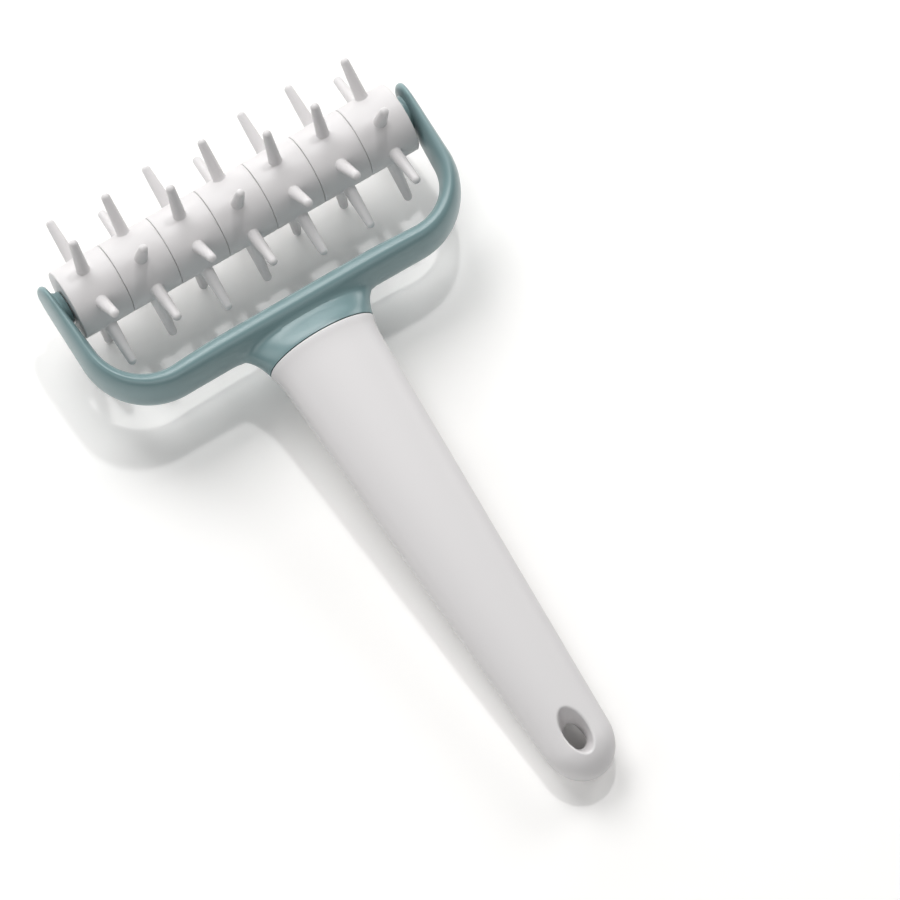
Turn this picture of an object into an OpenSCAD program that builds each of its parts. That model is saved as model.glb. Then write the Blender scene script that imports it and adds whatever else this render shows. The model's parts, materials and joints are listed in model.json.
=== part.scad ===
// Dough docker: a spiked roller of seven rings that turns in a U-shaped yoke on a tapered handle.
// It lies as it is put down on a worktop, on two rows of spikes and the end of its handle.
// X runs along the roller, the handle points towards -Y, and Z is up from the worktop.
// The yoke and the handle are drawn flat, measured from the roller's axis towards the handle,
// and are then tipped together about that axis until the end of the handle touches the worktop.

/* [Main sizes] */
// Overall width over the arms of the yoke
tool_w = 115; // [100:0.5:140]
// Overall length from the farthest spikes to the end of the handle
tool_l = 205; // [170:0.5:240]

/* [Roller] */
// Diameter of a ring's body
ring_d = 20.3; // [16:0.1:26]
// Gap between neighbouring rings
ring_gap = 0.1; // [0.05:0.05:0.5]
// Chamfer on the rings' edges, which makes the fine line between two rings
ring_chamfer = 0.3; // [0.1:0.1:1]
// Spikes round each ring
spike_count = 6; // [6:4:10]
// Distance from the roller's axis to the tip of a spike
spike_reach = 22.65; // [16:0.05:28]
// Diameter of a spike where it leaves the ring
spike_base_d = 4; // [3:0.1:5]
// Diameter of the rounded tip of a spike
spike_tip_d = 2.6; // [1.5:0.1:3]
// Thickness of a ring's outer wall
ring_wall = 1.9; // [1.4:0.1:3]
// Diameter of a ring's hub
hub_d = 10.4; // [9:0.1:11]
// Thickness of the web that closes one face of a ring
ring_web = 3.2; // [2:0.1:5]
// Thickness of the ribs between a ring's hub and its wall
ring_rib = 1.2; // [0.8:0.1:2]

/* [Spindle] */
// Side of the square bar that carries the rings
spindle_w = 6; // [4:0.1:6.5]
// Clearance between the square bar and the rings, on each side
spindle_fit = 0.05; // [0.02:0.01:0.1]
// Diameter of the round journal at each end
journal_d = 5; // [3:0.1:5.6]
// Radial running clearance of a journal in its socket
journal_fit = 0.05; // [0.02:0.01:0.1]
// End play between the roller and the yoke, at each end
end_play = 0.3; // [0.2:0.05:0.6]

/* [Yoke] */
// Thickness of an arm at its tip
arm_t = 2.7; // [2.5:0.1:4]
// How far the rounded arms reach past the roller's axis
arm_past = 8; // [6.5:0.1:12]
// Height of the arms and of the crossbar
yoke_h = 17; // [12:0.1:19]
// Thickness of the crossbar
bar_t = 8.2; // [6:0.1:12]
// Space between the tips of the spikes and the crossbar
bar_clear = 6.55; // [4.5:0.05:12]
// Radius of the yoke's outer corners
corner_r = 20.5; // [18:0.5:27]
// Length of the neck between the crossbar and the handle
neck_l = 7.55; // [6:0.05:16]
// How much wider the neck flares on each side where it leaves the crossbar
flare_w = 7; // [3:0.1:9]
// Length over which that flare dies out, from the crossbar on
flare_l = 14.5; // [10:0.1:20]
// Rise of the arched joint line between neck and handle, seen from above
joint_arc = 1.4; // [0:0.1:2.4]
// Diameter of the boss inside each arm
boss_d = 9.4; // [8.6:0.1:10.4]
// Height of that boss
boss_h = 1.6; // [1:0.05:4]
// Wall left outside the bottom of each socket
socket_floor = 1.5; // [1:0.1:2.2]

/* [Handle] */
// Width of the handle's straight taper at the neck
handle_w = 30.4; // [26:0.1:38]
// Height of that taper at the neck
handle_h = 16.8; // [14:0.1:24]
// Width of the handle near its end
handle_end_w = 19.5; // [15:0.1:24]
// Height of the handle near its end
handle_end_h = 14; // [11:0.1:15]
// Length over which the end rounds off, seen from above
end_plan = 12; // [9:0.1:16]
// Length over which the end rounds off, seen from the side
end_side = 8.5; // [6:0.1:9]
// Thickness of the handle's shell
handle_wall = 2.4; // [1.8:0.1:3.2]
// Length of the hollow inside the handle
pocket_l = 92; // [60:1:100]
// Length of the hanging hole along the handle
hole_l = 13.2; // [10:0.1:18]
// Width of the hanging hole
hole_w = 6.7; // [6:0.1:9]
// Distance from the middle of the hanging hole to the end of the handle
hole_in = 12.4; // [11.5:0.1:20]
// Rounding of the hanging hole's rim
hole_rim = 0.7; // [0.3:0.1:1.2]
// Length of the narrow throat in the middle of the hole
throat_l = 7.6; // [5:0.1:10]
// Width of that throat
throat_w = 5.2; // [4:0.1:6]
// Parting line between the neck and the handle
joint_gap = 0.1; // [0.05:0.05:0.3]
// Length of the tang inside the handle
tang_l = 84; // [40:1:90]
// Thickness of the tang's webs
tang_web = 3; // [2:0.1:4]
// Clearance between the tang and the hollow handle
tang_fit = 0.15; // [0.05:0.05:0.3]
// Spacing of the tang's cross ribs
tang_pitch = 18; // [12:1:30]

/* [Hidden] */

TEAL = [0.56, 0.68, 0.69];
WHITE = [0.90, 0.88, 0.87];
IVORY = [0.93, 0.92, 0.91];

// Quarter turns of each ring on the square bar, from left to right: a quarter turn moves
// the spikes by half their pitch, and the fifth and sixth rings sit alike.
ring_turns = [0, 1, 0, 1, 0, 0, 1];
ring_n = len(ring_turns);
spike_step = 360 / spike_count;
// Half the angle between the two rows of spikes that the roller rests on
rest_half = spike_step / 4;
spike_tip_r = spike_tip_d / 2;
ring_r = ring_d / 2;
hub_r = hub_d / 2;
pocket_r = ring_r - ring_wall;

// Height of the roller's axis above the worktop
axle_z = (spike_reach - spike_tip_r) * cos(rest_half) + spike_tip_r;
// Reach of the spikes on the far side of the axis, where two rows lie at the same angles
far_y = max([for (i = [0:4 * spike_count - 1])
    (i % 2 == 1) ? (spike_reach - spike_tip_r) * sin(i * rest_half) : 0]) + spike_tip_r;

half_w = tool_w / 2;

// Distances from the roller's axis towards the handle
bar_in = spike_reach + bar_clear;
bar_out = bar_in + bar_t;
bar_mid = bar_in + bar_t / 2;
joint_s = bar_out + neck_l;
pocket_s = joint_s + pocket_l;

// In the side view the handle's end is half an ellipse, with this half axis across the handle
end_b = handle_end_h / 2;
// Distance from the axis to the middle of that ellipse, if the handle is tilted by q
function end_mid(q) = (tool_l - far_y - norm([end_side * cos(q), end_b * sin(q)])) / cos(q);
// Tilt at which the end touches the worktop, found by steps that settle quickly
function settle(q, n) = n == 0 ? q
    : settle(asin((axle_z - norm([end_side * sin(q), end_b * cos(q)])) / end_mid(q)), n - 1);
tilt = settle(5, 24);
end_s = end_mid(tilt) + end_side;
end_from = end_s - end_plan;
hole_s = end_s - hole_in;
axle_y = tool_l / 2 - far_y;

// Points round a section, and how square it is: 2 is an ellipse
yoke_round = 28;
yoke_square = 2.1;
handle_round = 48;
handle_square = 2.4;

// Smooth step from 0 to 1
function ease(t) = let (u = min(1, max(0, t))) u * u * (3 - 2 * u);

// One point of an oval with half axes a and b at angle q
function oval(a, b, q, e) =
    [a * sign(cos(q)) * pow(abs(cos(q)), 2 / e), b * sign(sin(q)) * pow(abs(sin(q)), 2 / e)];

// Strips that close a ring of n points, which starts at one side and is the same above and below
function lid(n) = [for (i = [0:n / 2 - 1])
    i == 0 ? [0, 1, n - 1]
    : i == n / 2 - 1 ? [i, i + 1, i + 2]
    : [i, i + 1, n - i - 1, n - i]];

// Closed solid through a list of rings with the same number of points each
module skin(rings) {
    n = len(rings[0]);
    m = len(rings);
    points = [for (ring = rings) each ring];
    sides = [for (j = [0:m - 2]) for (i = [0:n - 1]) let (k = (i + 1) % n)
        each [[j * n + i, (j + 1) * n + i, (j + 1) * n + k],
              [j * n + i, (j + 1) * n + k, j * n + k]]];
    start = lid(n);
    end = [for (f = lid(n)) [for (i = [len(f) - 1:-1:0]) (m - 1) * n + f[i]]];
    polyhedron(points, concat(sides, start, end));
}

// Places what is drawn flat on the roller's axis and tips it with the handle
module held() {
    translate([0, axle_y, axle_z]) rotate([tilt, 0, 0]) children();
}

// Places what turns with the roller
module rolled() {
    translate([0, axle_y, axle_z]) children();
}

// Outer edge of the yoke

// The edge runs from the tip of one arm round a corner to the middle of the crossbar.
// Each station is [x, s, angle of the outward direction, distance run from the tip].
corner_s = bar_out - corner_r;
corner_x = half_w - corner_r;
arm_run = corner_s + arm_past;
corner_run = corner_r * PI / 2;
// The tip is half round in the side view, and its stations crowd towards its end
tip_r = yoke_h / 2;
tip_steps = 10;
arm_steps = 4;
corner_steps = 12;
bar_steps = 5;

arm_stations = concat(
    [for (i = [0:tip_steps]) let (d = tip_r * (1 - cos(3 + 87 * i / tip_steps)))
        [half_w, d - arm_past, 0, d]],
    [for (i = [1:arm_steps]) let (d = tip_r + (arm_run - tip_r) * i / arm_steps)
        [half_w, d - arm_past, 0, d]]);
corner_stations = [for (i = [1:corner_steps]) let (q = 90 * i / corner_steps)
    [corner_x + corner_r * cos(q), corner_s + corner_r * sin(q), q, arm_run + corner_run * i / corner_steps]];
bar_stations = [for (i = [1:bar_steps])
    [corner_x * (1 - i / bar_steps), bar_out, 90, arm_run + corner_run + corner_x * i / bar_steps]];
half_stations = concat(arm_stations, corner_stations, bar_stations);
half_count = len(half_stations);

// Thickness of the yoke at a distance from the tip: thin at the tip, full where the neck's flare begins
taper_run = arm_run + corner_run + corner_x - handle_w / 2 - flare_w - 1.5;
function yoke_t(d) = arm_t + (bar_t - arm_t) * (1 - pow(max(0, 1 - d / taper_run), 1.25));

// The roller fills the width that the yoke and its bosses leave
axle_t = yoke_t(arm_past);
arm_in = half_w - axle_t;
roller_w = 2 * (arm_in - boss_h - end_play);
ring_w = (roller_w - (ring_n - 1) * ring_gap) / ring_n;
ring_pitch = ring_w + ring_gap;

// Rounding of the tip: a half circle of radius r in the view that it is used for
function tip_round(d, r) = d < r ? sqrt(1 - pow((r - d) / r, 2)) : 1;

function yoke_section(st, side) =
    let (t = yoke_t(st[3]),
         a = t / 2 * tip_round(st[3], 0.7 * arm_t),
         b = yoke_h / 2 * tip_round(st[3], tip_r),
         cx = st[0] - cos(st[2]) * t / 2,
         cs = st[1] - sin(st[2]) * t / 2)
    [for (i = [0:yoke_round - 1])
        let (p = oval(a, b, 360 * i / yoke_round, yoke_square),
             x = cx + cos(st[2]) * p[0],
             s = cs + sin(st[2]) * p[0])
        [side * x, -s, p[1]]];

module yoke_bow() {
    right = [for (st = half_stations) yoke_section(st, 1)];
    left = [for (j = [half_count - 2:-1:0]) yoke_section(half_stations[j], -1)];
    skin(concat(right, left));
}

// Neck and handle

// Half width and half height of the handle at a distance s from the roller's axis
function taper(s) = min(1, max(0, (s - joint_s) / (end_from - joint_s)));
function straight_a(s) = (handle_w + (handle_end_w - handle_w) * taper(s)) / 2;
function straight_b(s) = (handle_h + (handle_end_h - handle_h) * taper(s)) / 2;
// The flare widens the neck towards the crossbar by a quarter of an ellipse
function flare(s) = let (u = min(1, max(0, 1 - (s - bar_out) / flare_l))) flare_w * (1 - sqrt(1 - u * u));
function grip_a(s) = straight_a(s) + flare(s);
function grip_b(s) = straight_b(s) + flare(s) / 2;
// The end is round in both views
function end_round(s, r) = s > end_s - r ? sqrt(max(0, 1 - pow((s - end_s + r) / r, 2))) : 1;

// The joint line is an arch: stations near it are bent towards the crossbar, most in the middle
arc_fade = 30;
joint_a = grip_a(joint_s);
joint_b = grip_b(joint_s);
function bent(x, s) = joint_arc * max(0, 1 - pow(x / joint_a, 2))
    * (s < joint_s ? ease((s - bar_mid) / (joint_s - bar_mid)) : ease(1 - (s - joint_s) / arc_fade));

function flat_ring(s, a, b, n, e) =
    [for (i = [0:n - 1]) let (p = oval(a, b, 360 * i / n, e)) [p[0], -s, p[1]]];
function bent_ring(s, a, b, n, e) =
    [for (p = flat_ring(s, a, b, n, e)) [p[0], p[1] + bent(p[0], s), p[2]]];

// The neck starts lower than the crossbar and rises to the handle's height with an easy curve
neck_low = 0.7 * yoke_h / 2;
function neck_b(s) = neck_low + (joint_b - neck_low)
    * ease(pow(max(0, s - bar_mid) / (joint_s - bar_mid), 1.4));
neck_steps = 14;

module neck() {
    skin([for (i = [0:neck_steps]) let (s = bar_mid + (joint_s - bar_mid) * i / neck_steps)
        bent_ring(s, handle_w / 2 + flare(s), neck_b(s), handle_round, handle_square)]);
}

// The tang is a cross of two webs with cross ribs, cut to the inside of the handle
module tang() {
    inset = handle_wall + tang_fit;
    tip = joint_s + tang_l;
    root = joint_arc + 2;
    intersection() {
        skin([for (s = [joint_s - root, joint_s, tip])
            flat_ring(s, straight_a(s) - inset, straight_b(s) - inset, handle_round, handle_square)]);
        union() {
            translate([-handle_w / 2, -tip, -tang_web / 2]) cube([handle_w, tang_l + root, tang_web]);
            translate([-tang_web / 2, -tip, -handle_h / 2]) cube([tang_web, tang_l + root, handle_h]);
            for (s = [joint_s + tang_pitch:tang_pitch:tip])
                translate([-handle_w / 2, -s, -handle_h / 2]) cube([handle_w, tang_web / 2, handle_h]);
        }
    }
}

module boss(side) {
    translate([side * (arm_in + axle_t / 3), 0, 0]) rotate([0, -90 * side, 0])
        cylinder(d = boss_d, h = boss_h + axle_t / 3, $fn = 64);
}

module socket(side) {
    depth = axle_t - socket_floor + boss_h;
    translate([side * (half_w - socket_floor), 0, 0]) rotate([0, -90 * side, 0])
        cylinder(d = journal_d + 2 * journal_fit, h = depth + 1, $fn = 64);
}

module yoke() {
    color(TEAL) held() difference() {
        union() {
            yoke_bow();
            neck();
            tang();
            for (side = [-1, 1]) boss(side);
        }
        for (side = [-1, 1]) socket(side);
    }
}

// Handle

grip_steps = 12;
end_steps = 14;
lip = 0.6;
// Stations of the outside: a small round lip at the neck, the straight taper and the round end
grip_lip = [for (q = [0:30:90]) [joint_s + joint_gap + lip * (1 - cos(q)), lip * (1 - sin(q))]];
grip_body = [for (i = [1:grip_steps])
    [joint_s + joint_gap + lip + (end_from - joint_s - joint_gap - lip) * i / grip_steps, 0]];
grip_end = [for (i = [1:end_steps]) [end_from + (end_s - end_from) * sin(89 * i / end_steps), 0]];

module grip() {
    skin([for (st = concat(grip_lip, grip_body, grip_end)) let (s = st[0])
        bent_ring(s, grip_a(s) * end_round(s, end_plan) - st[1],
            grip_b(s) * end_round(s, end_side) - st[1], handle_round, handle_square)]);
}

module pocket() {
    skin([for (s = [joint_s - joint_arc - 1, joint_s, pocket_s])
        flat_ring(s, straight_a(s) - handle_wall, straight_b(s) - handle_wall, handle_round, handle_square)]);
}

// Oval hanging hole with a round rim on both faces and walls that slope in to a narrow throat:
// each station is [height, half width, half length]
module hanging_hole() {
    top = grip_b(hole_s);
    wide = hole_w / 2;
    long = hole_l / 2;
    edge = hole_rim * (1 - sin(66));
    low = top - hole_rim * (1 - cos(66));
    half = concat(
        [[top + hole_rim, wide + hole_rim, long + hole_rim]],
        [for (q = [0:22:66]) let (out = hole_rim * (1 - sin(q)))
            [top - hole_rim * (1 - cos(q)), wide + out, long + out]],
        [for (i = [1:5]) let (w = pow(1 - i / 5, 1.25))
            [low * (1 - i / 5), throat_w / 2 + (wide + edge - throat_w / 2) * w,
                throat_l / 2 + (long + edge - throat_l / 2) * w]]);
    other = [for (i = [len(half) - 2:-1:0]) [-half[i][0], half[i][1], half[i][2]]];
    skin([for (st = concat(half, other))
        [for (i = [0:39]) let (p = oval(st[1], st[2], 360 * i / 40, 2))
            [p[0], -p[1] - hole_s, st[0]]]]);
}

module handle() {
    color(WHITE) held() difference() {
        grip();
        pocket();
        hanging_hole();
    }
}

// Roller

module spindle() {
    color(IVORY) rolled() union() {
        translate([-roller_w / 2, -spindle_w / 2, -spindle_w / 2])
            cube([roller_w, spindle_w, spindle_w]);
        reach = boss_h + axle_t - socket_floor;
        translate([-roller_w / 2 - reach, 0, 0]) rotate([0, 90, 0])
            cylinder(d = journal_d, h = roller_w + 2 * reach, $fn = 64);
    }
}

module ring_body() {
    rotate([0, 90, 0]) rotate_extrude($fn = 96) polygon([
        [0, 0], [ring_r - ring_chamfer, 0], [ring_r, ring_chamfer],
        [ring_r, ring_w - ring_chamfer], [ring_r - ring_chamfer, ring_w], [0, ring_w]]);
}

// Ring-shaped hollow between the hub and the wall, crossed by three ribs
module ring_pocket() {
    translate([ring_web, 0, 0]) rotate([0, 90, 0]) linear_extrude(ring_w) difference() {
        circle(r = pocket_r, $fn = 96);
        circle(r = hub_r, $fn = 64);
        for (q = [0, 120, 240]) rotate(q) translate([0, -ring_rib / 2]) square([ring_r, ring_rib]);
    }
}

module spike(q) {
    root = ring_r - ring_wall / 2;
    rotate([-q, 0, 0]) translate([ring_w / 2, 0, 0]) {
        translate([0, 0, root]) cylinder(d1 = spike_base_d, d2 = spike_tip_d,
            h = spike_reach - spike_tip_r - root, $fn = 32);
        translate([0, 0, spike_reach - spike_tip_r]) sphere(d = spike_tip_d, $fn = 32);
    }
}

// One spiked ring in its place along the roller, turned by quarter turns on the square bar
module spiked_ring(i) {
    side = spindle_w + 2 * spindle_fit;
    color(IVORY) rolled() translate([-roller_w / 2 + i * ring_pitch, 0, 0])
        rotate([-90 * ring_turns[i], 0, 0]) difference() {
            union() {
                difference() {
                    ring_body();
                    ring_pocket();
                }
                for (k = [0:spike_count - 1]) spike(rest_half + k * spike_step);
            }
            translate([-1, -side / 2, -side / 2]) cube([ring_w + 2, side, side]);
        }
}

module ring_1() spiked_ring(0);
module ring_2() spiked_ring(1);
module ring_3() spiked_ring(2);
module ring_4() spiked_ring(3);
module ring_5() spiked_ring(4);
module ring_6() spiked_ring(5);
module ring_7() spiked_ring(6);

yoke();
handle();
spindle();
ring_1();
ring_2();
ring_3();
ring_4();
ring_5();
ring_6();
ring_7();
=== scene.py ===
# %% [markdown]
# # A dough docker in satin plastic
# The tool is a spiked roller of seven white rings that turns in a pale teal yoke on a white handle.
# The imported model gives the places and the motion. This lesson gives each piece its moulded skin:
# surfaces computed with numpy, procedural satin plastic, and a plain soft studio.

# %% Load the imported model
import json
import math

import bmesh
import bpy
import numpy as np
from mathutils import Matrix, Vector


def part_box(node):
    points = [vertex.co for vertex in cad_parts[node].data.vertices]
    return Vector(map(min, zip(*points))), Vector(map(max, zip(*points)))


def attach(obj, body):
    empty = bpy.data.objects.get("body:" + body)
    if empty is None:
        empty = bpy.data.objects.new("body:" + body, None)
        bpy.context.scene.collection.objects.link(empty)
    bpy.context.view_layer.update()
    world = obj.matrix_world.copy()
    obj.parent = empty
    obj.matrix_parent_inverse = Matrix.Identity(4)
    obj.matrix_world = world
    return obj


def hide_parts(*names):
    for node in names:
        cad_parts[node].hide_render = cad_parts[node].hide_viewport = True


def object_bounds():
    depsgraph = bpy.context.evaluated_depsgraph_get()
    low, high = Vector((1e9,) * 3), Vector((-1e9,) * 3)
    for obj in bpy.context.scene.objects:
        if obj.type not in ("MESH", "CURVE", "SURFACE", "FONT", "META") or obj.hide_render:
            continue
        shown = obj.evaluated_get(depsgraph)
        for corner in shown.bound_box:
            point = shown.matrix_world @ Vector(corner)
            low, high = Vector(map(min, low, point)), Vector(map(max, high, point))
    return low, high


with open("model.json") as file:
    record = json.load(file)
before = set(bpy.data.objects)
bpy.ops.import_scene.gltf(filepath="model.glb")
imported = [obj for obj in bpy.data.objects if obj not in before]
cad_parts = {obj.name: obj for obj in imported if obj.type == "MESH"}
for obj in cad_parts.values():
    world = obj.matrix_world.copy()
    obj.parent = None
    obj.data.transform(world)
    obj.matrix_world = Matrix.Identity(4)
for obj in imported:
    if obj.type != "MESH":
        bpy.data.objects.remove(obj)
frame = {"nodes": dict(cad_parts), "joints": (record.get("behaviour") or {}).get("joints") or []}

cad_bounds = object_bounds()
print("pieces in the frame:", sorted(frame["nodes"]))

# %% [markdown]
# ## Sizes
# The roller's axis, the ring widths, the yoke's width and the handle's tilt are taken from the frame,
# so they can't drift from it. The other sizes are the real ones of the moulded forms, in millimetres,
# and each stands where it is first needed.

# %% Sizes read from the frame
MM = 0.001
axle = np.array(frame["joints"][0]["pos_m"]) / MM
half_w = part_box("yoke")[1].x / MM
RINGS = sorted(n for n in frame["nodes"] if n.startswith("ring_"))


def ring_span(node):
    """Start and end of a ring along the roller, in millimetres."""
    low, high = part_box(node)
    return low.x / MM, high.x / MM


print("roller axis at", axle.round(2), "mm, half width", round(half_w, 2), "mm")

# %% How the handle lies
end_h, end_side = 14.0, 8.5


def lie():
    """Tilt, and distance from the axis to the handle's end, so that the round end touches both the
    worktop and the frame's end. In the side view that end is half an ellipse, whose reach in a
    direction is the root of the summed squares of its half axes' shares. Repeats until settled."""
    reach, angle = axle[1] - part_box("handle")[0].y / MM, 0.08
    for _ in range(30):
        c, d = math.cos(angle), math.sin(angle)
        centre = (reach - math.hypot(end_side * c, end_h / 2 * d)) / c
        angle = math.asin((axle[2] - math.hypot(end_side * d, end_h / 2 * c)) / centre)
    return angle, centre + end_side


tilt, end_s = lie()
print("handle tilt", round(math.degrees(tilt), 2), "degrees, end at", round(end_s, 2), "mm")

# %% [markdown]
# ## Helpers for surfaces
# Every skin here is a grid of points: rows along the piece and columns round it. The yoke and the
# handle are worked out flat, with s measured from the roller's axis towards the handle, and one
# function tips them into place. One builder turns grids into a closed, smooth mesh.


# %% Placing flat shapes in the tipped yoke
def held(x, s, z):
    """Point x across, s along the handle and z above it, turned about the axle by the tilt."""
    c, d = math.cos(tilt), math.sin(tilt)
    x, s, z = np.broadcast_arrays(x, s, z)
    return np.stack([x, axle[1] - s * c - z * d, axle[2] - s * d + z * c], axis=-1)


def rolled(x, across, radial, angle):
    """Point on the roller: x along it, radial out at an angle from the top, across beside that line."""
    q = np.radians(angle)
    x, across, radial = np.broadcast_arrays(x, across, radial)
    y = axle[1] + radial * np.sin(q) + across * np.cos(q)
    z = axle[2] + radial * np.cos(q) - across * np.sin(q)
    return np.stack([x, y, z], axis=-1)


print("the handle's end lies at", held(0, end_s, 0).round(2), "mm")


# %% Faces of a grid
def quads(rows, cols, start, wrap):
    """Faces between neighbouring points of a grid, as an array of four indices each."""
    i, j = np.meshgrid(np.arange(rows - 1), np.arange(cols if wrap else cols - 1), indexing="ij")
    k = (j + 1) % cols
    faces = np.stack([i * cols + j, (i + 1) * cols + j, (i + 1) * cols + k, i * cols + k], axis=-1)
    return faces.reshape(-1, 4) + start


print("a band between two rings of four points has", len(quads(2, 4, 0, True)), "faces")

# %% Turning grids into one mesh
SHARP_DEGREES = 40.0
WELD = 0.02 * MM


def build(name, grids, caps):
    """Joins point grids into one object, welds their seams and turns the faces outwards.
    grids holds (points, wrap) pairs in millimetres, and caps the loops that a flat face closes."""
    points, faces, start = [], [], 0
    for grid, wrap in grids:
        rows, cols = grid.shape[:2]
        points.append(grid.reshape(-1, 3))
        faces.extend(quads(rows, cols, start, wrap).tolist())
        start += rows * cols
    for loop in caps:
        points.append(loop)
        faces.append(list(range(start, start + len(loop))))
        start += len(loop)
    mesh = bpy.data.meshes.new(name)
    mesh.from_pydata((np.concatenate(points) * MM).tolist(), [], faces)
    bm = bmesh.new()
    bm.from_mesh(mesh)
    bmesh.ops.remove_doubles(bm, verts=bm.verts, dist=WELD)
    bmesh.ops.dissolve_degenerate(bm, edges=bm.edges, dist=WELD / 2)
    bmesh.ops.recalc_face_normals(bm, faces=bm.faces)
    open_edges = sum(1 for e in bm.edges if not e.is_manifold)
    bm.to_mesh(mesh)
    bm.free()
    mesh.shade_smooth()
    mesh.set_sharp_from_angle(angle=math.radians(SHARP_DEGREES))
    piece = bpy.data.objects.new(name, mesh)
    bpy.context.scene.collection.objects.link(piece)
    print(name, len(mesh.polygons), "faces,", open_edges, "open edges")
    return piece


print("seams weld within", round(WELD / MM, 3), "mm, edges are sharp from", SHARP_DEGREES, "degrees")


# %% Smooth step
def ease(t):
    """Smooth step: 0 before 0, 1 after 1, with level ends."""
    u = np.clip(t, 0, 1)
    return u * u * (3 - 2 * u)


print("a quarter of the way the smooth step is at", round(float(ease(0.25)), 3))

# %% [markdown]
# ## Satin plastic
# All three plastics are the same kind of injection moulding: an even colour, a satin sheen and a very
# fine spark-eroded grain that the steel mould leaves. One colour and one roughness would do from far
# away, but look dead near by. The grain, the slow drift of the colour and the drift of the gloss are
# shared, so they are one node group with its own values in each material. All patterns read Object
# coordinates in metres.


# %% The shared moulded skin
def moulded_skin_group():
    """Colour, roughness and height of moulded plastic.
    Colour is the base mixed with its shade by slow noise, which also drives the roughness. Height
    is a fine noise of its own."""
    group = bpy.data.node_groups.new("moulded_skin", "ShaderNodeTree")
    for socket, kind, value in (("Base", "NodeSocketColor", (0.8, 0.8, 0.8, 1)),
                                ("Shade", "NodeSocketColor", (0.7, 0.7, 0.7, 1)),
                                ("Drift Scale", "NodeSocketFloat", 30.0),
                                ("Grain Scale", "NodeSocketFloat", 2600.0),
                                ("Gloss Low", "NodeSocketFloat", 0.36),
                                ("Gloss High", "NodeSocketFloat", 0.46)):
        item = group.interface.new_socket(socket, in_out="INPUT", socket_type=kind)
        item.default_value = value
    for socket, kind in (("Color", "NodeSocketColor"), ("Roughness", "NodeSocketFloat"),
                         ("Height", "NodeSocketFloat")):
        group.interface.new_socket(socket, in_out="OUTPUT", socket_type=kind)
    nodes, links = group.nodes, group.links
    given = nodes.new("NodeGroupInput")
    result = nodes.new("NodeGroupOutput")
    place = nodes.new("ShaderNodeTexCoord")

    drift = nodes.new("ShaderNodeTexNoise")
    drift.inputs["Detail"].default_value = 3.0
    links.new(place.outputs["Object"], drift.inputs["Vector"])
    links.new(given.outputs["Drift Scale"], drift.inputs["Scale"])

    grain = nodes.new("ShaderNodeTexNoise")
    grain.inputs["Detail"].default_value = 2.0
    links.new(place.outputs["Object"], grain.inputs["Vector"])
    links.new(given.outputs["Grain Scale"], grain.inputs["Scale"])

    colour = nodes.new("ShaderNodeMix")
    colour.data_type = "RGBA"
    links.new(drift.outputs["Fac"], colour.inputs["Factor"])
    links.new(given.outputs["Base"], colour.inputs["A"])
    links.new(given.outputs["Shade"], colour.inputs["B"])
    links.new(colour.outputs["Result"], result.inputs["Color"])

    gloss = nodes.new("ShaderNodeMapRange")
    links.new(drift.outputs["Fac"], gloss.inputs["Value"])
    links.new(given.outputs["Gloss Low"], gloss.inputs["To Min"])
    links.new(given.outputs["Gloss High"], gloss.inputs["To Max"])
    links.new(gloss.outputs["Result"], result.inputs["Roughness"])
    links.new(grain.outputs["Fac"], result.inputs["Height"])
    return group


MOULDED_SKIN = moulded_skin_group()
print("moulded skin made of", len(MOULDED_SKIN.nodes), "nodes")


# %% Satin plastic from the moulded skin
GRAIN_DEPTH, GRAIN_STRENGTH, DRIFT_SCALE = 0.02, 0.35, 30.0


def satin_plastic(name, base, shade, gloss, ior):
    """Principled plastic whose colour, roughness and bump come from the moulded skin."""
    material = bpy.data.materials.new(name)
    material.use_nodes = True
    nodes, links = material.node_tree.nodes, material.node_tree.links
    shader = nodes["Principled BSDF"]
    skin = nodes.new("ShaderNodeGroup")
    skin.node_tree = MOULDED_SKIN
    for socket, value in (("Base", (*base, 1)), ("Shade", (*shade, 1)), ("Drift Scale", DRIFT_SCALE),
                          ("Gloss Low", gloss[0]), ("Gloss High", gloss[1])):
        skin.inputs[socket].default_value = value
    bump = nodes.new("ShaderNodeBump")
    bump.inputs["Strength"].default_value = GRAIN_STRENGTH
    bump.inputs["Distance"].default_value = GRAIN_DEPTH * MM
    links.new(skin.outputs["Color"], shader.inputs["Base Color"])
    links.new(skin.outputs["Roughness"], shader.inputs["Roughness"])
    links.new(skin.outputs["Height"], bump.inputs["Height"])
    links.new(bump.outputs["Normal"], shader.inputs["Normal"])
    shader.inputs["IOR"].default_value = ior
    material.diffuse_color = (*base, 1)
    return material


print("grain", GRAIN_DEPTH, "mm deep, colour drift at scale", DRIFT_SCALE)

# %% The three plastics
teal_plastic = satin_plastic("teal satin plastic", base=(0.192, 0.295, 0.306),
                             shade=(0.182, 0.283, 0.295), gloss=(0.27, 0.35), ior=1.58)
white_plastic = satin_plastic("white satin plastic", base=(0.738, 0.722, 0.722),
                              shade=(0.720, 0.704, 0.704), gloss=(0.42, 0.50), ior=1.49)
roller_plastic = satin_plastic("roller satin plastic", base=(0.700, 0.682, 0.682),
                               shade=(0.684, 0.666, 0.666), gloss=(0.40, 0.48), ior=1.49)
print("materials:", teal_plastic.name, white_plastic.name, roller_plastic.name)


def finish_piece(piece, material, slot, body, *nodes):
    """Gives a new piece its material, and lets it ride in place of its CAD nodes. The argument slot is
    not used.
    """
    piece.data.materials.append(material)
    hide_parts(*nodes)
    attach(piece, body)


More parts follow.
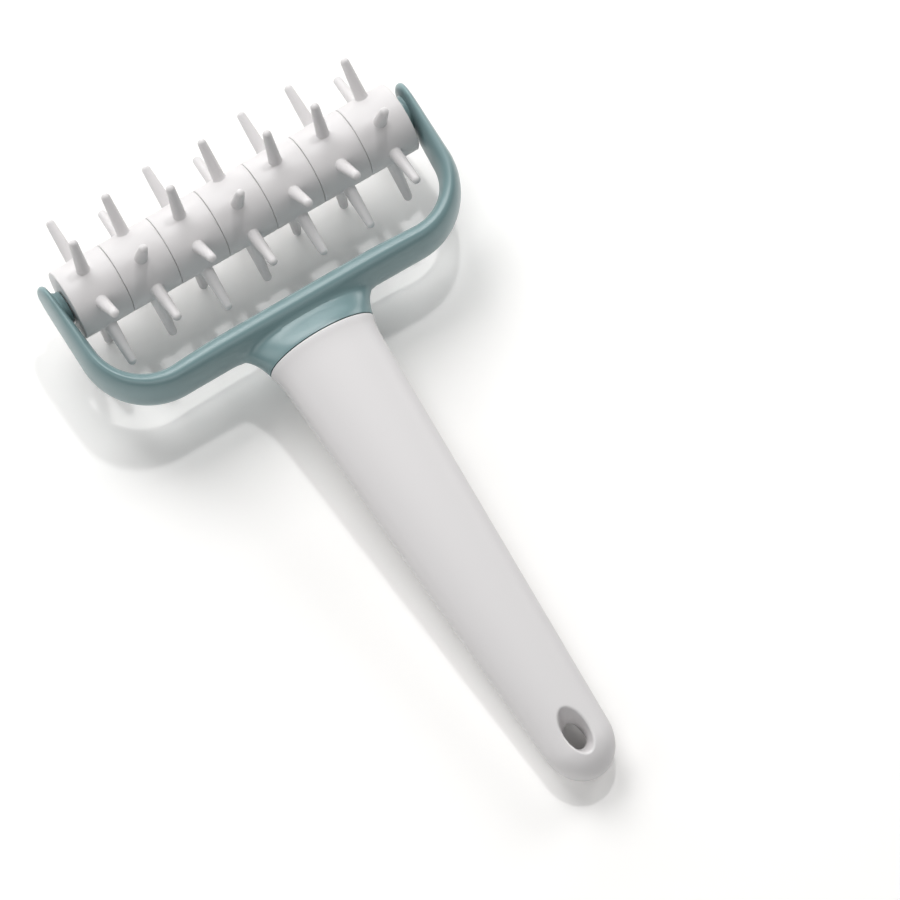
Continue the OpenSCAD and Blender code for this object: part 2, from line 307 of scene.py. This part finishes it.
# %% [markdown]
# ## The spiked rings
# Each ring is one moulding: a drum with softened edges, open on one face where three ribs join the
# wall to a hub with a square bore, and six tapered spikes. Cylinders and cones with a bevel would be
# quicker, but would leave the spikes' feet sharp. So the drum is a profile carried round the axis, and
# a spike is a profile of radius against height carried round its own axis. Its foot follows the drum,
# so it is bent by the drum's curve and spreads into it with a small fillet.

# %% Sizes of a ring
ring_r, ring_edge, ring_web, ring_wall, ring_rib, hub_r = 10.15, 0.3, 3.2, 1.9, 1.2, 5.2
bore_half = 3.05
spike_reach, spike_base_r, spike_tip_r, spike_foot = 22.65, 1.8, 1.25, 0.3
spike_step, first_spike, foot_fade = 60.0, 15.0, 4.0
ring_turns = (0, 1, 0, 1, 0, 0, 1)
print("spikes stand", round(spike_reach - ring_r, 2), "mm out of the drum")


# %% Drum of a ring
def drum(x0, x1):
    """Closed profile of (x, radius) pairs carried round the axis. Two rows follow the square bore:
    their radius is its half width over the larger of |cos| and |sin| of the angle."""
    q = np.radians(np.arange(6) * 18.0)
    left = np.stack([x0 + ring_edge * (1 - np.cos(q)), ring_r - ring_edge * (1 - np.sin(q))], axis=1)
    wall = np.stack([np.linspace(x0 + 1.5, x1 - 1.5, 7), np.full(7, ring_r)], axis=1)
    right = left[::-1] * [-1, 1] + [x0 + x1, 0]
    hollow_r = ring_r - ring_wall
    inside = np.array([[x1, hollow_r + 0.2], [x1 - 0.2, hollow_r], [x0 + ring_web, hollow_r],
                       [x0 + ring_web, hub_r], [x1 - 0.2, hub_r], [x1, hub_r - 0.2]])
    outline = np.concatenate([left, wall, right, inside])
    angles = np.radians(np.arange(96) * 3.75)
    rows = outline[:, 1][:, None] * np.ones_like(angles)
    square = bore_half / np.maximum(np.abs(np.cos(angles)), np.abs(np.sin(angles)))
    rows = np.concatenate([rows, np.stack([square, square]), rows[:1]])
    xs = np.concatenate([outline[:, 0], [x1, x0], outline[:1, 0]])
    y = axle[1] + rows * np.sin(angles)
    z = axle[2] + rows * np.cos(angles)
    return np.stack([np.broadcast_to(xs[:, None], y.shape), y, z], axis=-1)


def hub_rib(x0, x1, angle):
    """Flat rib from hub to wall: a four-sided section carried outwards along the radius."""
    half = ring_rib / 2
    xs = np.array([x0 + ring_web - 0.3, x1 - 0.6, x1 - 0.6, x0 + ring_web - 0.3])
    across = np.array([-half, -half, half, half])
    radial = np.linspace(hub_r - 0.3, ring_r - ring_wall + 0.3, 5)[:, None]
    return rolled(xs[None, :], across[None, :], radial, angle)


print("drum points, rows by columns:", drum(*ring_span(RINGS[0])).shape[:2])


# %% Spike
SUNK = 0.03


def spike(x_mid, angle):
    """Radius against height: a quarter-round foot of the fillet's size, a straight taper and a
    half-round tip. The drum's own curve, root(r^2 - across^2), fades out up the spike."""
    foot = np.radians(np.linspace(0, 90, 6))
    foot_r = spike_base_r + spike_foot * (1 - np.sin(foot))
    foot_h = spike_foot * (1 - np.cos(foot))
    top = spike_reach - spike_tip_r - ring_r
    up = np.linspace(0, 1, 12)[1:]
    taper_r = spike_base_r + (spike_tip_r - spike_base_r) * up
    taper_h = spike_foot + (top - spike_foot) * up
    tip = np.radians(np.linspace(0, 90, 8)[1:])
    radius = np.concatenate([[foot_r[0]], foot_r, taper_r, spike_tip_r * np.cos(tip)])
    height = np.concatenate([[-1.0], foot_h, taper_h, top + spike_tip_r * np.sin(tip)])
    turn = np.radians(np.arange(32) * 11.25)
    x = x_mid + radius[:, None] * np.cos(turn)
    across = radius[:, None] * np.sin(turn)
    follow = 1 - ease(height / foot_fade)
    drop = (np.sqrt(ring_r ** 2 - across ** 2) - ring_r) * follow[:, None]
    return rolled(x, across, ring_r - SUNK + height[:, None] + drop, angle)


print("a spike's tip reaches", round(float(spike(0, 0)[..., 2].max()) - axle[2], 2), "mm from the axis")


# %% Join each ring
def spiked_ring(node, quarter):
    """One ring: drum, ribs and spikes, turned by quarter turns on the square bar."""
    x0, x1 = ring_span(node)
    grids = [(drum(x0, x1), True)]
    caps = []
    for k in range(3):
        rib = hub_rib(x0, x1, 120 * k + 90 * quarter)
        grids.append((rib, True))
        caps += [rib[0], rib[-1]]
    for k in range(6):
        pin = spike((x0 + x1) / 2, first_spike + spike_step * k + 90 * quarter)
        grids.append((pin, True))
        caps.append(pin[0])
    return build(node + "_skin", grids, caps)


for node, quarter in zip(RINGS, ring_turns):
    finish_piece(spiked_ring(node, quarter), roller_plastic, "roller_plastic", "roller", node)

# %% [markdown]
# ## The yoke
# The yoke is one moulding, so its crossbar has to flow into the neck with no seam. Two swept bodies
# and a Boolean would leave a crease that a bevel rounds badly, so the skin is computed. Along the arms
# and corners it is an oval carried along the outer edge. Across the neck it is cut into slices of
# constant x. In a slice the square of the height is the smooth maximum of two squares, the bar's
# oval and the neck's oval, which fills the crease between them with a fillet. The joint line with
# the handle is a shallow arch, so the slices of the middle end a little nearer to the crossbar.

# %% Sizes of the yoke and its joint with the handle
arm_t, arm_past, arm_swell, yoke_h, bar_t, corner_r = 2.7, 8.0, 1.25, 17.0, 8.2, 20.5
bar_gap = 6.55
bar_in = spike_reach + bar_gap
bar_mid, bar_out = bar_in + bar_t / 2, bar_in + bar_t
neck_l, flare_w, flare_l = 7.55, 7.0, 14.5
neck_low, neck_rise, neck_blend, blend_fade = 0.68, 1.4, 36.0, 4.0
joint_s, joint_arc = bar_out + neck_l, 1.4
handle_w, handle_h = 30.4, 16.8
yoke_square, handle_square = 2.1, 2.4
boss_r, socket_r, end_play = 4.7, 2.55, 0.3
print("crossbar from", round(bar_in, 2), "to", round(bar_out, 2), "mm from the axis")


# %% Outer edge of the yoke
corner_s, corner_x = bar_out - corner_r, half_w - corner_r
arm_run, corner_run = corner_s + arm_past, corner_r * math.pi / 2
neck_reach = handle_w / 2 + flare_w + 1.5
taper_run = arm_run + corner_run + corner_x - neck_reach
ACROSS = 37
bar_angle = np.linspace(0, np.pi, ACROSS)


def arm_thickness(run):
    """Thin at the tip, growing steadily and then ever more slowly to the crossbar's full thickness."""
    share = np.clip(1 - run / taper_run, 0, 1)
    return arm_t + (bar_t - arm_t) * (1 - share ** arm_swell)


def tip_round(run, radius):
    """Height of a quarter circle of that radius, as a share of the radius, and 1 past it."""
    return np.sqrt(np.clip(1 - (np.clip(radius - run, 0, None) / radius) ** 2, 0, 1))


def edge_stations():
    """Points of the outer edge from an arm's tip to the neck: x, s, outward angle, distance run."""
    first = yoke_h / 2 * (1 - np.cos(np.linspace(0, np.pi / 2, 20)))
    arm = np.concatenate([first, np.linspace(yoke_h / 2, arm_run, 12)[1:]])
    q = np.linspace(0, np.pi / 2, 30)[1:]
    bar = np.linspace(corner_x, neck_reach, 8)[1:]
    x = np.concatenate([np.full(len(arm), half_w), corner_x + corner_r * np.cos(q), bar])
    s = np.concatenate([arm - arm_past, corner_s + corner_r * np.sin(q), np.full(len(bar), bar_out)])
    angle = np.concatenate([np.zeros(len(arm)), q, np.full(len(bar), np.pi / 2)])
    run = np.concatenate([arm, arm_run + corner_r * q, arm_run + corner_run + corner_x - bar])
    return x, s, angle, run


print("outer edge: arm", round(arm_run, 2), "mm, corner", round(corner_run, 2), "mm")


# %% Arm and corner skin
def power_oval(t, square):
    """Height of an oval at t from -1 to 1: (1 - |t|^e)^(1/e), signed so that it can be squared."""
    inside = 1 - np.abs(t) ** square
    return np.sign(inside) * np.abs(inside) ** (1 / square)


def bow_skin():
    """Oval sections hung inwards from the outer edge, as x, s and z arrays of the upper half."""
    x, s, angle, run = (v[:, None] for v in edge_stations())
    thick = arm_thickness(run)
    t = -np.cos(bar_angle)[None, :]
    offset = -thick / 2 + t * thick / 2 * tip_round(run, 0.7 * arm_t)
    z = yoke_h / 2 * tip_round(run, yoke_h / 2) * power_oval(t, yoke_square)
    return x + np.cos(angle) * offset, s + np.sin(angle) * offset, z


print("arm and corner points, rows by columns:", bow_skin()[2].shape)


# %% Joint line
def flare(s):
    """Extra half width near the bar, which dies out along the handle: a quarter of an ellipse."""
    u = np.clip(1 - (s - bar_out) / flare_l, 0, 1)
    return flare_w * (1 - np.sqrt(1 - u ** 2))


joint_a = handle_w / 2 + float(flare(joint_s))
joint_b = handle_h / 2 + float(flare(joint_s)) / 2


def arch(x):
    """How far the joint line is bent towards the crossbar: a parabola, most in the middle."""
    return joint_arc * np.clip(1 - (x / joint_a) ** 2, 0, 1)


print("joint line: half width", round(joint_a, 2), "mm, half height", round(joint_b, 2), "mm")


# %% Height of the neck
def height_squared(x, s):
    """Smooth maximum of the bar's and the neck's squared heights: the larger, plus a quarter of
    the blend width times the squared closeness of the two. The neck starts lower than the bar, at
    its middle, and grows with a smooth step up to the joint line, so that it is hollow in between.
    The neck dies out towards the bar's inner side, and the blend towards the last slice too."""
    bar = power_oval((s - bar_mid) / (bar_t / 2), yoke_square) * yoke_h / 2
    share = (s - bar_mid) / (joint_s - arch(x) - bar_mid)
    station = bar_mid + (joint_s - bar_mid) * share
    low = neck_low * yoke_h / 2
    tall = low + (joint_b - low) * ease(np.clip(share, 0, 1) ** neck_rise)
    neck = power_oval(x / (handle_w / 2 + flare(station)), handle_square) * tall
    inner = np.clip((s - bar_in) / (bar_mid - bar_in), 0, 1)
    bar2 = bar * np.abs(bar)
    neck2 = neck * np.abs(neck) * (1 - (1 - inner) ** 2)
    near = np.clip(neck_blend - np.abs(bar2 - neck2), 0, None) / neck_blend
    fade = inner * ease((neck_reach - np.abs(x)) / blend_fade)
    return np.maximum(bar2, neck2) + near ** 2 * neck_blend / 4 * fade


print("half height over the bar's middle", round(float(height_squared(0.0, bar_mid)) ** 0.5, 2), "mm")


# %% Neck slices
def slice_end(x):
    """Where each slice meets the middle plane on the handle's side, by halving an interval."""
    low = np.full_like(x, bar_out - 1.0)
    high = np.full_like(x, joint_s)
    for _ in range(40):
        middle = (low + high) / 2
        solid = height_squared(x, middle) > 0
        low, high = np.where(solid, middle, low), np.where(solid, high, middle)
    return np.where(np.abs(x) < joint_a, joint_s - arch(x), low)


def neck_skin():
    """Slices from one side of the neck to the other, as x, s and z arrays of the upper half."""
    outer = np.linspace(neck_reach, joint_a, 30)
    inner = joint_a * np.cos(np.linspace(0, np.pi, 61))
    x = np.concatenate([outer[:-1], inner, -outer[::-1][1:]])[:, None]
    s = bar_in + (slice_end(x) - bar_in) * (1 - np.cos(bar_angle)[None, :]) / 2
    z = np.sqrt(np.clip(height_squared(x, s), 0, None))
    z[:, 0] = 0
    z[np.abs(x[:, 0]) >= joint_a, -1] = 0
    return np.broadcast_to(x, s.shape), s, z


print("neck points, rows by columns:", neck_skin()[2].shape)


# %% Whole skin of the yoke
def yoke_shell():
    """Upper and lower halves of both arms and the neck, closed round each section."""
    bx, bs, bz = bow_skin()
    nx, ns, nz = neck_skin()
    # The bow's columns run from the inner edge to the outer one, as the neck's do
    x = np.concatenate([bx, nx[1:-1], -bx[::-1]])
    s = np.concatenate([bs, ns[1:-1], bs[::-1]])
    z = np.concatenate([bz, nz[1:-1], bz[::-1]])
    upper = held(x, s, z)
    lower = held(x, s, -z)
    return np.concatenate([upper, lower[:, ::-1]], axis=1)


print("yoke points, rows by columns:", yoke_shell().shape[:2])


# %% Bosses and joined yoke
def boss(side):
    """Round boss carried round the axle from (x, radius) pairs: a small fillet in four steps where
    it leaves the arm, a softened rim, and the blind socket."""
    face = ring_span(RINGS[-1])[1] + end_play
    root = half_w - float(arm_thickness(arm_past))
    q = np.radians(np.linspace(0, 90, 5))
    pairs = [(root + 1.2, boss_r + 0.5), (root + 0.05, boss_r + 0.3),
             (root - 0.25, boss_r + 0.08), (root - 0.5, boss_r)]
    pairs += [(face + 0.25 * (1 - math.sin(a)), boss_r - 0.25 * (1 - math.cos(a))) for a in q]
    pairs += [(face, socket_r + 0.2), (face + 0.2, socket_r), (half_w - 1.5, socket_r)]
    line = np.array(pairs)
    angles = np.radians(np.arange(64) * 5.625)
    y = line[:, 1][:, None] * np.sin(angles)
    z = line[:, 1][:, None] * np.cos(angles)
    return held(side * line[:, 0][:, None], y, z)


bosses = [boss(-1), boss(1)]
yoke_piece = build("yoke_skin", [(yoke_shell(), True)] + [(b, True) for b in bosses],
                   [b[0] for b in bosses] + [b[-1] for b in bosses])
finish_piece(yoke_piece, teal_plastic, "teal_plastic", "frame", "yoke")

# %% [markdown]
# ## The handle
# The handle tapers straight from the neck to a round end. A subdivided box would wander off the
# measured outline, so the skin is computed from it. Along most of the length it is made of rings
# of an oval, and next to the neck these rings are bent like the arched joint line. Round the
# hanging hole a second grid runs from the outline of the end in to the hole, over its rounded rim,
# down the oval wall and back out underneath. Both grids share the points of the line where they
# meet, so the weld closes them.

# %% Sizes of the handle
end_w, end_plan = 19.5, 12.0
handle_wall, pocket_l, joint_gap, lip_r, arc_fade = 2.4, 92.0, 0.1, 0.6, 30.0
hole_in, hole_l, hole_w, hole_rim = 12.4, 13.2, 6.7, 0.7
throat_l, throat_w = 7.6, 5.2
rim_sweep, wall_slope, hole_field = 66.0, 1.25, 8.0
hole_s = end_s - hole_in
print("the hole's middle is", round(hole_s, 2), "mm from the roller's axis")


# %% Size of the handle along its length
def taper(s):
    """Share of the straight taper, which runs from the joint to where the end begins to round."""
    return np.clip((s - joint_s) / (end_s - end_plan - joint_s), 0, 1)


def grip_a(s):
    """Half width: the neck's flare dying out, a straight taper and half an ellipse at the end."""
    return ((handle_w + (end_w - handle_w) * taper(s)) / 2 + flare(s)) * tip_round(end_s - s, end_plan)


def grip_b(s):
    """Half height: half of the flare, a straight taper and half an ellipse at the end."""
    straight = (handle_h + (end_h - handle_h) * taper(s)) / 2
    return (straight + flare(s) / 2) * tip_round(end_s - s, end_side)


def grip_height(x, s):
    """Height of the upper skin over the point x, s."""
    a = np.maximum(grip_a(s), 1e-6)
    return grip_b(s) * np.clip(power_oval(np.clip(x / a, -1, 1), handle_square), 0, None)


print("the handle is", round(2 * float(grip_a(joint_s)), 2), "mm wide at the joint")


# %% One ring of the handle
CUT = 64
cut_t = -np.cos(np.linspace(0, np.pi, CUT + 1))
cut_s = hole_s - hole_l / 2 - hole_field


def oval_ring(s, a, b):
    """Closed loop of one station: the upper half from left to right, then the lower half back.
    Near the neck it is bent like the joint line, which dies out along the handle."""
    x = a * cut_t
    z = b * np.clip(power_oval(cut_t, handle_square), 0, None)
    bent = s - arch(x) * ease(1 - (s - joint_s) / arc_fade)
    x = np.concatenate([x, x[-2:0:-1]])
    z = np.concatenate([z, -z[-2:0:-1]])
    bent = np.concatenate([bent, bent[-2:0:-1]])
    return held(x, bent, z)


print("points in a ring:", len(oval_ring(cut_s, 1.0, 1.0)))


# %% Rings of the handle
def grip_rings():
    """From the bottom of the hollow out over the lip and along the grip to the cut line."""
    rings = []
    face = joint_s + joint_gap
    far = joint_s + pocket_l
    a, b = float(grip_a(joint_s)), float(grip_b(joint_s))
    far_a, far_b = float(grip_a(far)), float(grip_b(far))
    for share in np.linspace(1, 0, 7):
        s = face + (far - face) * share
        inner_a = a + (far_a - a) * share - handle_wall
        inner_b = b + (far_b - b) * share - handle_wall
        rings.append(oval_ring(s, inner_a, inner_b))
    for q in np.radians(np.linspace(0, 90, 6)):
        s = face + lip_r * (1 - math.cos(q))
        inset = lip_r * (1 - math.sin(q))
        rings.append(oval_ring(s, a - inset, b - inset))
    for s in np.linspace(face + lip_r, cut_s, 90)[1:]:
        rings.append(oval_ring(s, float(grip_a(s)), float(grip_b(s))))
    return np.stack(rings)


print("the rings stop", round(end_s - cut_s, 2), "mm before the end")


# %% Outline of the handle's end
ROUND = 128


def end_outline(count):
    """The end's outline from the right side of the cut line round to its left side, at equal steps."""
    q = np.linspace(0, np.pi / 2, 400)
    centre = end_s - end_plan
    s = np.concatenate([np.linspace(cut_s, centre, 200)[:-1], centre + end_plan * np.sin(q)])
    x = grip_a(s)
    x[-1] = 0
    x, s = np.concatenate([x, -x[-2::-1]]), np.concatenate([s, s[-2::-1]])
    run = np.concatenate([[0], np.cumsum(np.hypot(np.diff(x), np.diff(s)))])
    steps = np.linspace(0, run[-1], count)
    return np.interp(steps, run, x), np.interp(steps, run, s)


print("outline points round the end:", len(end_outline(ROUND + 1)[0]))


# %% Skin round the hanging hole
def hole_grid():
    """Rays from the hole to the outline. The share along a ray follows a sine, so the rows crowd
    where the skin turns under. Then the round rim, the wall that slopes in to the throat at the
    middle plane, and the same again mirrored underneath."""
    end_x, end_line = end_outline(ROUND + 1)
    cut_x = float(grip_a(cut_s)) * cut_t
    outline_x = np.concatenate([cut_x[:-1], end_x[:-1]])
    outline_s = np.concatenate([np.full(CUT, cut_s), end_line[:-1]])
    ray = np.arctan2(outline_s - hole_s, outline_x)

    def oval_at(a, b):
        r = a * b / np.hypot(b * np.cos(ray), a * np.sin(ray))
        return r * np.cos(ray), hole_s + r * np.sin(ray)

    rim_x, rim_s = oval_at(hole_w / 2 + hole_rim, hole_l / 2 + hole_rim)
    share = np.sin(np.linspace(np.pi / 2, 0, 34))[:, None]
    x = rim_x + (outline_x - rim_x) * share
    s = rim_s + (outline_s - rim_s) * share
    z = grip_height(x, s)
    z[0, CUT:] = 0
    z[0, 0] = 0
    rim_z = grip_height(rim_x, rim_s)
    rows = [(x, s, z)]
    for q in np.radians(np.linspace(0, rim_sweep, 7))[1:]:
        extra = hole_rim * (1 - math.sin(q))
        wx, ws = oval_at(hole_w / 2 + extra, hole_l / 2 + extra)
        rows.append((wx[None], ws[None], (rim_z - hole_rim * (1 - math.cos(q)))[None]))
    wall_top = rows[-1][2][0]
    extra = hole_rim * (1 - math.sin(math.radians(rim_sweep)))
    for depth in np.linspace(0, 1, 14)[1:]:
        wide = (1 - depth) ** wall_slope
        wx, ws = oval_at(throat_w / 2 + (hole_w / 2 + extra - throat_w / 2) * wide,
                         throat_l / 2 + (hole_l / 2 + extra - throat_l / 2) * wide)
        rows.append((wx[None], ws[None], (wall_top * (1 - depth))[None]))
    x, s, z = (np.concatenate([r[k] for r in rows]) for k in range(3))
    top = held(x, s, z)
    under = held(x[-2::-1], s[-2::-1], -z[-2::-1])
    return np.concatenate([top, under])


print("hole grid points, rows by columns:", hole_grid().shape[:2])


# %% Join the handle
rings = grip_rings()
handle_piece = build("handle_skin", [(rings, True), (hole_grid(), True)], [rings[0]])
finish_piece(handle_piece, white_plastic, "white_plastic", "frame", "handle")

# %% [markdown]
# ## The spindle
# The square bar stays as it is in the frame. Only its round journals show, in the narrow gap between
# the end rings and the bosses, so it gets the roller's plastic.

# %% Spindle finish
spindle = frame["nodes"]["spindle"]
spindle.data.materials.clear()
spindle.data.materials.append(roller_plastic)
print("spindle keeps its mesh and gets", roller_plastic.name)

# %% [markdown]
# ## Camera
# The picture is taken from high above, on the handle's side, with a long lens. The camera stands on a
# line through a point near the middle of the tool, given by azimuth, elevation, distance and roll,
# because these four can be changed one at a time.

# %% Where the camera looks from
VIEW_AZ, VIEW_EL, VIEW_ROLL = math.radians(-27.85), math.radians(67.77), math.radians(4.24)
VIEW_POINT = np.array([13.563, -7.08, 15.0]) * MM
VIEW_DISTANCE = 1.3237
VIEW_FOCAL = 200.0


def camera_axes(az, el, roll):
    """Right, up and forward directions: the level axes turned about the line of sight by the roll."""
    level = np.array([-math.sin(az), math.cos(az), 0.0])
    forward = level * math.cos(el) - np.array([0, 0, math.sin(el)])
    flat = np.array([level[1], -level[0], 0.0])
    right = flat * math.cos(roll) + np.cross(forward, flat) * math.sin(roll)
    return right, np.cross(right, forward), forward


print("the camera looks along", camera_axes(VIEW_AZ, VIEW_EL, VIEW_ROLL)[2].round(3))


# %% Camera
def add_camera():
    """A camera on the line of sight, with its axes as the columns of its matrix."""
    right, up, forward = camera_axes(VIEW_AZ, VIEW_EL, VIEW_ROLL)
    data = bpy.data.cameras.new("camera")
    data.lens = VIEW_FOCAL
    data.sensor_width = 36.0
    data.clip_end = 20.0
    cam = bpy.data.objects.new("camera", data)
    matrix = np.eye(4)
    matrix[:3, 0], matrix[:3, 1], matrix[:3, 2] = right, up, -forward
    matrix[:3, 3] = VIEW_POINT - forward * VIEW_DISTANCE
    cam.matrix_world = matrix.T.tolist()
    bpy.context.scene.collection.objects.link(cam)
    bpy.context.scene.camera = cam
    return cam


camera = add_camera()
print("camera at", [round(v, 3) for v in camera.location])

# %% [markdown]
# ## Studio
# A white tabletop in a dim, even room. The main lamps stand behind the tool, so that the shadows fall
# towards the viewer. A small lamp high up draws the crisp shadow, a soft box to its left the wide one,
# and a low card behind slips light under the roller. Three more cards, at the left, the right and the
# front, fill the rest. One big light would be simpler, but would lose either the crisp shadow or the
# soft one.
# The table scatters light as white paper does, and direct views see it brighter in proportion, so it
# comes out white round the tool and keeps its shadows.


# %% Floor material
def floor_material():
    """Matt white that scatters light, and that direct views see brighter in proportion."""
    material = bpy.data.materials.new("table white")
    material.use_nodes = True
    nodes, links = material.node_tree.nodes, material.node_tree.links
    nodes.clear()
    out = nodes.new("ShaderNodeOutputMaterial")
    matt = nodes.new("ShaderNodeBsdfDiffuse")
    matt.inputs["Color"].default_value = (0.92, 0.92, 0.91, 1)
    bright = nodes.new("ShaderNodeBsdfDiffuse")
    bright.inputs["Color"].default_value = (1.07, 1.06, 1.045, 1)
    choose = nodes.new("ShaderNodeMixShader")
    path = nodes.new("ShaderNodeLightPath")
    seen = nodes.new("ShaderNodeMath")
    seen.operation = "MAXIMUM"
    seen_all = nodes.new("ShaderNodeMath")
    seen_all.operation = "MAXIMUM"
    links.new(path.outputs["Is Camera Ray"], seen.inputs[0])
    links.new(path.outputs["Is Glossy Ray"], seen.inputs[1])
    links.new(seen.outputs[0], seen_all.inputs[0])
    links.new(path.outputs["Is Transmission Ray"], seen_all.inputs[1])
    links.new(seen_all.outputs[0], choose.inputs[0])
    links.new(matt.outputs[0], choose.inputs[1])
    links.new(bright.outputs[0], choose.inputs[2])
    links.new(choose.outputs[0], out.inputs["Surface"])
    return material


table_white = floor_material()
print("floor material:", table_white.name)

# %% Floor
TABLE_HALF, TABLE_GAP = 3.0, 0.00005


def add_floor():
    """A flat sheet just under the lowest spikes, in metres."""
    half = TABLE_HALF
    mesh = bpy.data.meshes.new("table")
    z = float(cad_bounds[0][2]) - TABLE_GAP
    corners = [(-half, -half, z), (half, -half, z), (half, half, z), (-half, half, z)]
    mesh.from_pydata(corners, [], [(0, 1, 2, 3)])
    table = bpy.data.objects.new("table", mesh)
    bpy.context.scene.collection.objects.link(table)
    table.data.materials.append(table_white)
    return table


print("table at", [round(v, 5) for v in add_floor().data.vertices[0].co])


# %% Room light
def room_light(strength, seen_strength):
    """A pale room: one level of light for the tool, and white where the camera sees it."""
    world = bpy.data.worlds.new("room")
    world.use_nodes = True
    nodes, links = world.node_tree.nodes, world.node_tree.links
    nodes.clear()
    out = nodes.new("ShaderNodeOutputWorld")
    light = nodes.new("ShaderNodeBackground")
    light.inputs["Color"].default_value = (0.985, 0.99, 1.0, 1)
    light.inputs["Strength"].default_value = strength
    seen = nodes.new("ShaderNodeBackground")
    seen.inputs["Strength"].default_value = seen_strength
    choose = nodes.new("ShaderNodeMixShader")
    path = nodes.new("ShaderNodeLightPath")
    links.new(path.outputs["Is Camera Ray"], choose.inputs[0])
    links.new(light.outputs[0], choose.inputs[1])
    links.new(seen.outputs[0], choose.inputs[2])
    links.new(choose.outputs[0], out.inputs["Surface"])
    bpy.context.scene.world = world
    return world


print("room light:", room_light(0.10, 1.0).name)

# %% Lamps
# Each row: name, degrees turned left from straight ahead, degrees up, width and height in metres, watts
LAMPS = (("small lamp", -10, 64, 0.07, 0.07, 3.0),
         ("soft box", 27, 46, 0.70, 0.70, 8.5),
         ("back card", 20, 18, 1.80, 0.30, 5.4),
         ("left card", 90, 35, 0.80, 0.60, 2.6),
         ("right card", -45, 28, 0.50, 0.50, 3.8),
         ("front card", 180, 50, 1.60, 0.80, 5.5))
LAMP_DISTANCE = 1.3


def add_lamp(name, az, el, wide, high, power):
    """A flat area light on a line from the tool, facing it, in the direction az, el."""
    level = np.array([-math.sin(az), math.cos(az), 0.0])
    away = level * math.cos(el) + np.array([0, 0, math.sin(el)])
    data = bpy.data.lights.new(name, "AREA")
    data.shape = "RECTANGLE"
    data.size, data.size_y = wide, high
    data.energy = power
    lamp = bpy.data.objects.new(name, data)
    side = np.array([level[1], -level[0], 0.0])
    matrix = np.eye(4)
    matrix[:3, 0], matrix[:3, 1], matrix[:3, 2] = side, np.cross(away, side), away
    matrix[:3, 3] = away * LAMP_DISTANCE
    lamp.matrix_world = matrix.T.tolist()
    bpy.context.scene.collection.objects.link(lamp)
    return lamp


for name, turn, rise, wide, high, power in LAMPS:
    add_lamp(name, VIEW_AZ + math.radians(turn), math.radians(rise), wide, high, power)
bpy.context.scene.view_settings.view_transform = "Standard"
print("studio ready with", len(LAMPS), "lamps")
